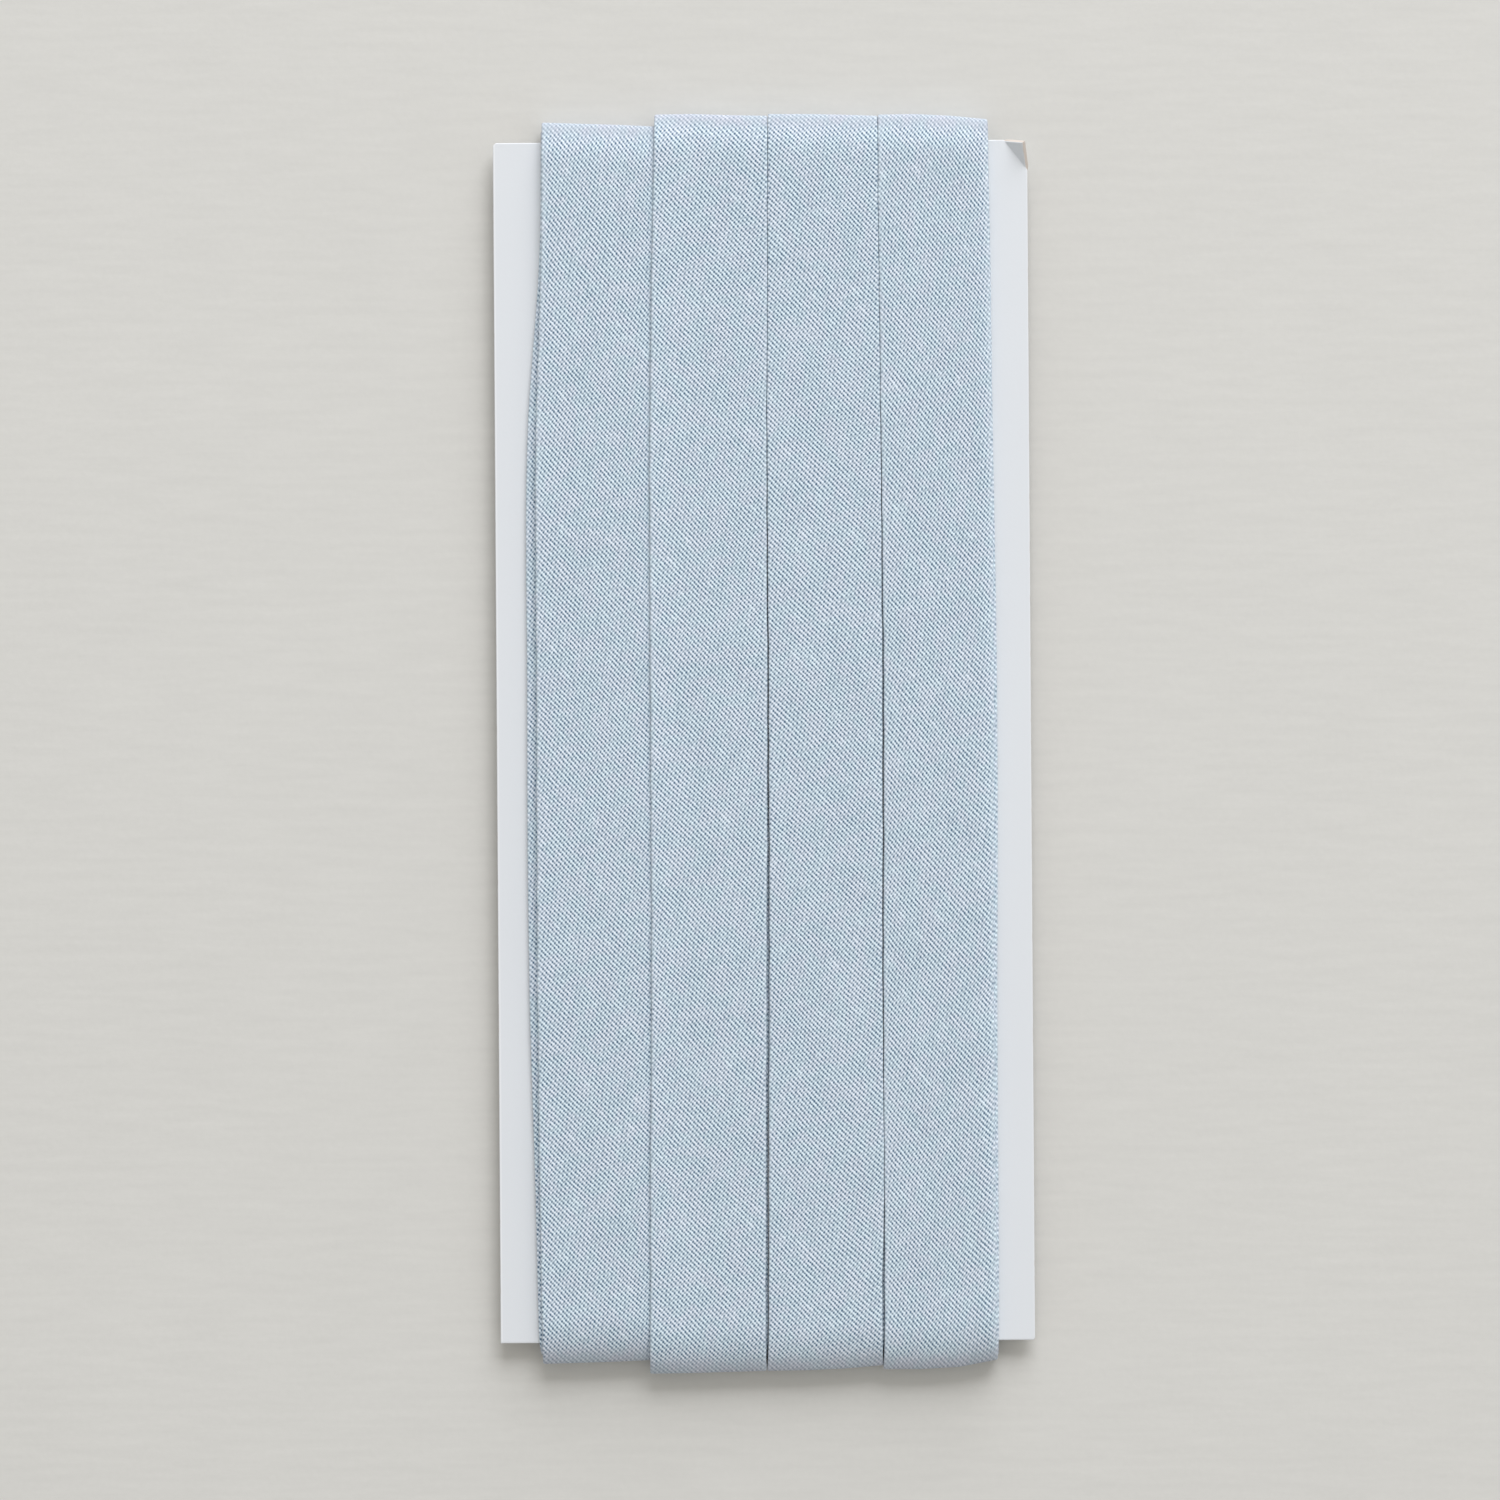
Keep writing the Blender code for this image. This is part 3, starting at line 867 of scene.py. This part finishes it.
def bias_cotton(cloth):
    """Plain-woven cotton on the bias. Two systems of threads cross at nearly a right angle, and a and b
    count the threads across each. sin(pi a) squared is 1 on a first thread's back and 0 in the groove
    beside it, and so with b. The product of the two sines says which thread lies over. The colour's lightness
    is the sum of these, with the yarn's unevenness along each thread: it paints the shade down in the
    grooves, and painted light and shade where a thread lies over or dips."""
    look = Look("bias_cotton")
    place = look.node("ShaderNodeUVMap", {"uv_map": TAPE_MAP})
    strayed = place
    for length, far in THREAD_STRAYS:
        push = look.noise(place, 1 / length, 1.0, "Color", "2D")
        push = look.vector("SUBTRACT", push, (0.5, 0.5, 0.5))
        strayed = look.vector("ADD", strayed, look.vector("SCALE", push, far))
    u = look.node("ShaderNodeSeparateXYZ", None, {0: strayed})
    v = u.other(1)

    def count(angle, pitch):
        """How many threads lie between the map's origin and a place: the place's distance along angle, over
        the pitch."""
        return u * (math.cos(angle) / pitch) + v * (math.sin(angle) / pitch)

    def uneven(across, along, length, offset):
        """Noise that is one thread's own and changes along it: a tone and a second value, each round 0."""
        thread = look.math("FLOOR", across) * THREAD_SPACING + offset
        where = look.node("ShaderNodeCombineXYZ", None, {0: thread, 1: along * (1 / length)})
        noise = look.node("ShaderNodeSeparateXYZ", None, {0: look.noise(where, 1.0, 1.0, "Color", "2D")})
        return noise - 0.5, noise.other(1) - 0.5

    a, b = count(cloth.first_angle, cloth.first_pitch), count(cloth.second_angle, cloth.second_pitch)
    sine_a, sine_b = look.math("SINE", a * math.pi), look.math("SINE", b * math.pi)
    lean = look.math("COSINE", a * math.pi) * look.math("COSINE", b * math.pi)
    back_a, back_b, over = sine_a * sine_a, sine_b * sine_b, sine_a * sine_b
    tone_a, swell_a = uneven(a, b, TONE_LENGTH, 0.0)
    tone_b, _ = uneven(b, a, TONE_LENGTH, SECOND_PLACE)
    slub, _ = uneven(a, b, SLUB_LENGTH, SLUB_PLACE)

    # Painted shade: the dark grooves between the threads stand in for the shade that falls down into them.
    lit = (back_a - 0.5) * cloth.first_groove_shade * (1 + swell_a * cloth.swell)
    lit = lit + (back_b - 0.5) * cloth.second_groove_shade
    # Painted light and shade where a thread lies over and where it dips.
    lit = lit + over * cloth.crossing_light_and_shade + lean * cloth.crossing_light_and_shade
    lit = lit + (tone_a * back_a + tone_b * back_b) * cloth.yarn_variation
    lit = lit + look.smooth(slub, *SLUB_RANGE) * SLUB_LIGHT
    grain = look.noise(place, 1 / FIBRE_GRAIN, 1.0, dimensions="2D") - 0.5
    mottle = look.noise(place, 1 / MOTTLE, 3.0, dimensions="2D") - 0.5
    from_middle = look.math("ABSOLUTE", look.node("ShaderNodeSeparateXYZ", None, {0: place}))
    at_fold = look.smooth(from_middle, *FOLD_RANGE)
    lit = (lit + grain * cloth.fibre) * (1 - at_fold * FOLD_SOFTENS) + mottle * MOTTLE_STRENGTH
    # A painted highlight along the folds.
    lit = lit + at_fold * FOLD_HIGHLIGHT
    turned = look.node("ShaderNodeAttribute", {"attribute_name": TURNED_OVER}, None, output="Fac")
    # Painted groove shade is weaker where the tape turns over the ends.
    lit = look.math("ADD", lit * (1 - turned * cloth.weaker_shade_at_ends), cloth.evenness, clamp=True)
    tint = look.smooth(look.noise(place, 1 / TINT_PATCH, 2.0, dimensions="2D"), *TINT_RANGE)
    thread = look.mix(tint, opaque(cloth.colour), opaque(cloth.tint))
    # Painted shade: the grooves take the colour of the shade down between the threads.
    colour = look.mix(lit, opaque(cloth.shade), thread)
    # Painted shade at the turned ends: it darkens them and takes out some of their blue.
    colour = look.mix(turned, colour, opaque(cloth.turned_end_shade), "MULTIPLY")
    of_first, of_second, of_crossings = RELIEF_SHARES
    height = back_a * of_first + back_b * of_second + over * of_crossings
    bump = look.node("ShaderNodeBump", None, {"Strength": 1.0, "Distance": cloth.relief, "Height": height})
    return look.finish(
        Base_Color=colour,
        Roughness=0.92,
        IOR=1.45,
        Normal=bump,
        Specular_IOR_Level=0.25,
        Sheen_Weight=0.12,
        Sheen_Roughness=0.6,
    )


def coated_board(card):
    """White coated board: an almost even face with faint cloudiness, a painted highlight along the face's
    edge, and a tan core that shows at the cut edge."""
    look = Look("coated_board")
    place = look.node("ShaderNodeTexCoord", None, None, output="Object")
    cloud = look.noise(place, 1 / CARD_CLOUD, 3.0) - 0.5
    grain = look.noise(place, 1 / CARD_GRAIN, 2.0) - 0.5
    clouded = look.math("ADD", cloud * CARD_CLOUDED + 0.5, grain * CARD_GRAINED, clamp=True)
    face = look.mix(clouded, opaque(card.shade), opaque(card.colour))
    rim = look.node("ShaderNodeAttribute", {"attribute_name": CUT_EDGE}, None, output="Fac")
    core, lip_highlight = look.math("MAXIMUM", rim, 0.0), look.math("MAXIMUM", rim * HIGHLIGHT_MARK, 0.0)
    # A painted highlight along the face's edge, where the die-cut lip would catch the light.
    face = look.mix(lip_highlight * LIP_HIGHLIGHT, face, (1.0, 1.0, 1.0, 1.0))
    worn = look.smooth(look.noise(place, 1 / WORN_PATCH, 3.0), *WORN_RANGE)
    shows = look.math("ADD", core**CORE_POWER, core * worn * WORN_STRENGTH, clamp=True)
    colour = look.mix(shows, face, opaque(card.core))
    bump = look.node("ShaderNodeBump", None, {"Strength": 0.3, "Distance": 0.02 * MM, "Height": grain})
    return look.finish(Base_Color=colour, Roughness=0.5 + grain * 0.1, Normal=bump, Specular_IOR_Level=0.4)


def pale_paper(stage):
    """The floor: pale matt paper with a fine grain, faint streaks across and soft clouds."""
    look = Look("pale_floor")
    place = look.node("ShaderNodeTexCoord", None, None, output="Object")
    grain = look.noise(place, 1 / FLOOR_GRAIN, 4.0) - 0.5
    cloud = look.noise(place, 1 / FLOOR_CLOUD, 2.0) - 0.5
    drawn = look.node("ShaderNodeMapping", None, {"Vector": place, "Scale": STREAKS_DRAWN})
    streaks = look.noise(drawn, 1 / FLOOR_STREAK, 3.0) - 0.5
    lit = grain * FLOOR_GRAINED + streaks * FLOOR_STREAKED + 0.5
    lit = look.math("ADD", lit, cloud * FLOOR_CLOUDED, clamp=True)
    colour = look.mix(lit, opaque(stage.floor, FLOOR_DARKER), opaque(stage.floor, FLOOR_LIGHTER))
    bump = look.node("ShaderNodeBump", None, {"Strength": 0.25, "Distance": 0.05 * MM, "Height": grain})
    return look.finish(Base_Color=colour, Roughness=0.85, Normal=bump, Specular_IOR_Level=0.2)


# Card


def fine_steps(low, high):
    """Places from low to high: fine within reach of both ends, coarse between them."""
    start, stop = low + FINE_CARD_REACH, high - FINE_CARD_REACH
    first = np.arange(low, start, FINE_CARD_STEP)
    middle = np.linspace(start, stop, round((stop - start) / CARD_STEP) + 1)
    last = np.arange(stop, high, FINE_CARD_STEP)[1:]
    return np.concatenate([first, middle, last, [high]])


def card_surface():
    """The card's closed skin as (row along it, place round its section). A row's section goes over the
    front from left to right, round the rim and back below. The rim is a quarter of an ellipse, RIM_WIDTH by
    RIM_DEPTH, at the front and the back, and the first and last rows draw in the same way. With each point
    comes how far over the rim it is, from 0 on the face to 1 on the cut edge. The face's outermost points
    carry a negative mark instead, for the painted highlight along the edge."""
    angles = np.linspace(0, math.pi / 2, RIM_STEPS + 1)
    drawn_in = RIM_WIDTH * (1 - np.sin(angles))
    thick = CARD_THICKNESS / 2 - RIM_DEPTH * (1 - np.cos(angles))
    half_width, half_length = CARD_WIDTH / 2, CARD_LENGTH / 2
    inner = fine_steps(-half_length + RIM_WIDTH, half_length - RIM_WIDTH)
    low_rim, high_rim = -half_length + drawn_in[::-1][1:-1], half_length - drawn_in[1:]
    y = np.concatenate([[-half_length], low_rim, inner, high_rim])
    row_half = np.interp(half_length - np.abs(y), drawn_in[::-1], thick[::-1])
    left = -half_width + np.clip(BLUNTED_CORNER - (half_length - y), 0, None)
    right = half_width - np.clip(NICKED_CORNER - (half_length + y), 0, None)
    across = np.concatenate([[0], fine_steps(0.0, CARD_WIDTH)[1:-1] / CARD_WIDTH, [1]])
    x_front = left[:, None] + RIM_WIDTH + (right - left - 2 * RIM_WIDTH)[:, None] * across
    z_front = np.broadcast_to(row_half[:, None], x_front.shape)
    rim_x = np.concatenate([drawn_in[1:], drawn_in[:0:-1]])
    rim_z = np.concatenate([thick[1:], -thick[:0:-1]])
    rim_z = np.clip(rim_z[None], -row_half[:, None], row_half[:, None])
    rim_right = right[:, None] - rim_x[None]
    rim_left = left[:, None] + rim_x[None, ::-1]
    x = np.concatenate([x_front, rim_right, x_front[:, ::-1], rim_left], axis=1)
    z = np.concatenate([z_front, rim_z, -z_front[:, ::-1], rim_z[:, ::-1]], axis=1)
    over_rim = np.linspace(0, 1, RIM_STEPS + 1)
    both_rims = np.concatenate([over_rim[1:], over_rim[:0:-1]])
    flat = np.zeros(x_front.shape[1])
    # The face's outermost points are marked for the painted highlight along the card's edge.
    flat[[0, -1]] = HIGHLIGHT_MARK
    edge = np.concatenate([flat, both_rims, flat, both_rims])
    over_end = np.interp(half_length - np.abs(y), drawn_in[::-1], over_rim[::-1])
    cut_edge = np.where(over_end[:, None] > 0, np.maximum(edge[None], over_end[:, None]), edge[None])
    return np.stack([x, np.broadcast_to(y[:, None], x.shape), z], axis=-1), cut_edge


def bend_corner(points):
    """Bends up the top right corner: past the crease a point goes round a circle of BEND_RADIUS, then
    straight on at BEND_ANGLE."""
    crease = np.array([CARD_WIDTH / 2 - BENT_ALONG_TOP, CARD_LENGTH / 2])
    outward = np.array([BENT_DOWN_SIDE, BENT_ALONG_TOP]) / math.hypot(BENT_DOWN_SIDE, BENT_ALONG_TOP)
    past = (points[..., :2] - crease) @ outward
    angle = np.clip(past / BEND_RADIUS, 0, BEND_ANGLE)
    straight = np.clip(past, 0, None) - BEND_RADIUS * angle
    height = points[..., 2]
    along = BEND_RADIUS * np.sin(angle) + straight * np.cos(angle) - height * np.sin(angle)
    raised = BEND_RADIUS * (1 - np.cos(angle)) + straight * np.sin(angle) + height * np.cos(angle)
    flat = points[..., :2] + (along - np.clip(past, 0, None))[..., None] * outward
    return np.concatenate([flat, raised[..., None]], axis=-1)


def cut_card(look):
    """The card as one closed piece, bent at its corner and then turned and lifted into its place."""
    points, cut_edge = card_surface()
    rows, columns = points.shape[:2]
    points = bend_corner(points)
    cosine, sine = math.cos(CARD_TURN), math.sin(CARD_TURN)
    turn = np.array([[cosine, sine], [-sine, cosine]])
    points[..., :2] = points[..., :2] @ turn + (0.0, CARD_CENTRE_Y)
    points[..., 2] += MIDDLE_Z
    side, _, _ = grid_faces(rows, columns)
    k = np.arange(columns // 2 - 1)
    first = np.stack([k, columns - 1 - k, columns - 2 - k, k + 1], 1)
    last = (first + (rows - 1) * columns)[:, ::-1]
    faces = np.concatenate([side[:, ::-1], first[:, ::-1], last[:, ::-1]])
    mesh = mesh_of("card", points, faces)
    mesh.set_sharp_from_angle(angle=SHARP_FROM)
    set_attribute(mesh, CUT_EDGE, cut_edge)
    return add_piece("card_board", mesh, look, "card")


# What a user would change


def colour_choice(name, description, default):
    """A colour."""
    return bpy.props.FloatVectorProperty(
        name=name, description=description, subtype="COLOR", default=default, min=0, max=1
    )


def share_choice(name, description, default, most=1):
    """A part of a whole, or a strength."""
    return bpy.props.FloatProperty(
        name=name, description=description, subtype="FACTOR", default=default, min=0, max=most
    )


def length_choice(name, description, default, least, most):
    """A length."""
    return bpy.props.FloatProperty(
        name=name, description=description, subtype="DISTANCE", unit="LENGTH",
        default=default, min=least, max=most,
    )


def slant_choice(name, description, degrees):
    """A direction across the cut strip, from its width towards its length."""
    return bpy.props.FloatProperty(
        name=name, description=description, subtype="ANGLE", default=math.radians(degrees), min=0, max=math.pi
    )


class TapeSettings(bpy.types.PropertyGroup):
    """The cloth that the tape is cut from."""

    colour: colour_choice("Thread", "Colour on the threads' backs", (0.815, 0.938, 1.0))
    tint: colour_choice(
        "Thread, tinted", "Their colour where the dye took a little differently", (0.85, 0.922, 1.0)
    )
    # Painted shade: the colour the grooves take, standing in for the shade down between the threads.
    shade: colour_choice("Between threads", "Colour down between the threads", (0.073, 0.144, 0.232))
    # Painted shade at the turned ends, which darkens them and takes out some of their blue.
    turned_end_shade: colour_choice("Fuzz", "What loose fibres do to the colour at the turned ends", (0.87, 0.82, 0.82))
    first_pitch: length_choice(
        "First threads", "From one of the thicker threads to the next", 0.66 * MM, 0.2 * MM, 2 * MM
    )
    first_angle: slant_choice("First threads' slant", "Way across the thicker threads", 44)
    second_pitch: length_choice(
        "Second threads", "From one of the finer threads to the next", 0.446 * MM, 0.2 * MM, 2 * MM
    )
    second_angle: slant_choice("Second threads' slant", "Way across the finer threads", 140)
    # Painted shade: how dark the grooves between the threads are painted.
    first_groove_shade: share_choice("First grooves", "How dark it is between the thicker threads", 0.78)
    second_groove_shade: share_choice("Second grooves", "How dark it is between the finer threads", 0.46)
    # Painted light and shade where the threads cross.
    crossing_light_and_shade: share_choice(
        "Crossings", "How much lighter a thread is where it lies over and darker where it dips", 0.15
    )
    swell: share_choice("Swelling", "How much the threads' thickness changes along them", 1.8, 3)
    yarn_variation: share_choice("Uneven yarn", "How much lighter and darker the yarn is along it", 0.35)
    fibre: share_choice("Fibres", "How much the loose fibres roughen the surface", 0.5, 2)
    evenness: share_choice("Lightness", "Where the cloth lies between the two colours on the whole", 0.60)
    # How much weaker the painted groove shade is at the turned ends.
    weaker_shade_at_ends: share_choice(
        "Opened", "How much the grooves open up and pale where the tape turns over the ends", 0.6
    )
    relief: length_choice("Relief", "How far the threads stand up from the grooves", 0.05 * MM, 0, 0.3 * MM)


class CardSettings(bpy.types.PropertyGroup):
    """The board."""

    colour: colour_choice("Face", "Colour of the coated face", (0.80, 0.82, 0.84))
    shade: colour_choice("Face, clouded", "Colour where the face is a little greyer", (0.77, 0.79, 0.815))
    core: colour_choice("Core", "Colour of the board at its cut edge", (0.60, 0.53, 0.47))


class StageSettings(bpy.types.PropertyGroup):
    """The floor and the light."""

    floor: colour_choice("Floor", "Colour of the floor", (0.70, 0.685, 0.645))
    window: bpy.props.FloatProperty(
        name="Window light", description="Power of the large light above the top end",
        subtype="POWER", unit="POWER", default=124.0, min=0,
    )
    fill: bpy.props.FloatProperty(
        name="Fill light", description="Strength of the even light from all round", default=0.52, min=0
    )


# Operators


class BINDING_OT_card(bpy.types.Operator):
    """Cuts the white card, with its blunted, nicked and bent corners"""

    bl_idname = "binding.card"
    bl_label = "Cut the card"

    def execute(self, context):
        cut_card(coated_board(context.scene.binding_card))
        return {"FINISHED"}


class BINDING_OT_tape(bpy.types.Operator):
    """Winds the folded tape round the card, lane by lane, in the order in which it is wound"""

    bl_idname = "binding.tape"
    bl_label = "Wind the tape"

    def execute(self, context):
        look = bias_cotton(context.scene.binding_tape)
        wound, under = 0.0, "card_board"
        for lane in range(len(TOP_ENDS)):
            inner, outer = f"lane_{lane + 1}_inner", f"lane_{lane + 1}_outer"
            wound = wind(inner, inner_turns(lane), wound, look)
            wound = wind(outer, outer_turns(lane), wound, look)
            under = outer
        return {"FINISHED"}


class BINDING_OT_stage(bpy.types.Operator):
    """Lays the floor and sets up the light and the camera"""

    bl_idname = "binding.stage"
    bl_label = "Set the stage"

    def execute(self, context):
        stage = context.scene.binding_stage
        corners = [(x * FLOOR_HALF, y * FLOOR_HALF, 0.0) for x, y in ((-1, -1), (1, -1), (1, 1), (-1, 1))]
        mesh = bpy.data.meshes.new("floor")
        mesh.from_pydata(corners, [], [(0, 1, 2, 3)])
        mesh.materials.append(pale_paper(stage))
        floor = bpy.data.objects.new("floor", mesh)
        context.scene.collection.objects.link(floor)

        world = bpy.data.worlds.new("studio")
        world.use_nodes = True
        background = world.node_tree.nodes["Background"]
        background.inputs["Color"].default_value = FILL_COLOUR
        background.inputs["Strength"].default_value = stage.fill
        context.scene.world = world

        light = bpy.data.lights.new("window", "AREA")
        light.shape = "RECTANGLE"
        light.size, light.size_y = WINDOW_SIZE
        light.energy, light.color = stage.window, WINDOW_COLOUR
        window = bpy.data.objects.new("window", light)
        level = WINDOW_AWAY * math.cos(WINDOW_ELEVATION)
        window.location = (
            level * math.sin(WINDOW_SWING),
            level * math.cos(WINDOW_SWING),
            WINDOW_AWAY * math.sin(WINDOW_ELEVATION),
        )
        window.rotation_euler = (math.pi / 2 - WINDOW_ELEVATION, 0.0, math.pi - WINDOW_SWING)
        context.scene.collection.objects.link(window)

        view = bpy.data.cameras.new("camera")
        view.lens, view.sensor_width = CAMERA_LENS, SENSOR
        view.clip_start, view.clip_end = CAMERA_CLIP
        camera = bpy.data.objects.new("camera", view)
        camera.location = CAMERA_PLACE
        context.scene.collection.objects.link(camera)
        context.scene.camera = camera
        context.scene.view_settings.view_transform = "Standard"
        return {"FINISHED"}


class BINDING_PT_panel(bpy.types.Panel):
    """The binding's steps and settings"""

    bl_idname = "BINDING_PT_panel"
    bl_label = "Bias binding"
    bl_space_type = "VIEW_3D"
    bl_region_type = "UI"
    bl_category = "Binding"

    def draw(self, context):
        for step, settings in STEPS:
            box = self.layout.box()
            box.operator(step.bl_idname)
            group = getattr(context.scene, settings)
            for name in group.__annotations__:
                box.prop(group, name)


STEPS = (
    (BINDING_OT_card, "binding_card"),
    (BINDING_OT_tape, "binding_tape"),
    (BINDING_OT_stage, "binding_stage"),
)
GROUPS = {"binding_card": CardSettings, "binding_tape": TapeSettings, "binding_stage": StageSettings}


def register():
    for group in GROUPS.values():
        bpy.utils.register_class(group)
    for name, group in GROUPS.items():
        setattr(bpy.types.Scene, name, bpy.props.PointerProperty(type=group))
    for step, _ in STEPS:
        bpy.utils.register_class(step)
    bpy.utils.register_class(BINDING_PT_panel)


def unregister():
    bpy.utils.unregister_class(BINDING_PT_panel)
    for step, _ in reversed(STEPS):
        bpy.utils.unregister_class(step)
    for name in GROUPS:
        delattr(bpy.types.Scene, name)
    for group in GROUPS.values():
        bpy.utils.unregister_class(group)


def main():
    register()
    bpy.ops.binding.card()
    bpy.ops.binding.tape()
    bpy.ops.binding.stage()


if __name__ == "__main__":
    main()
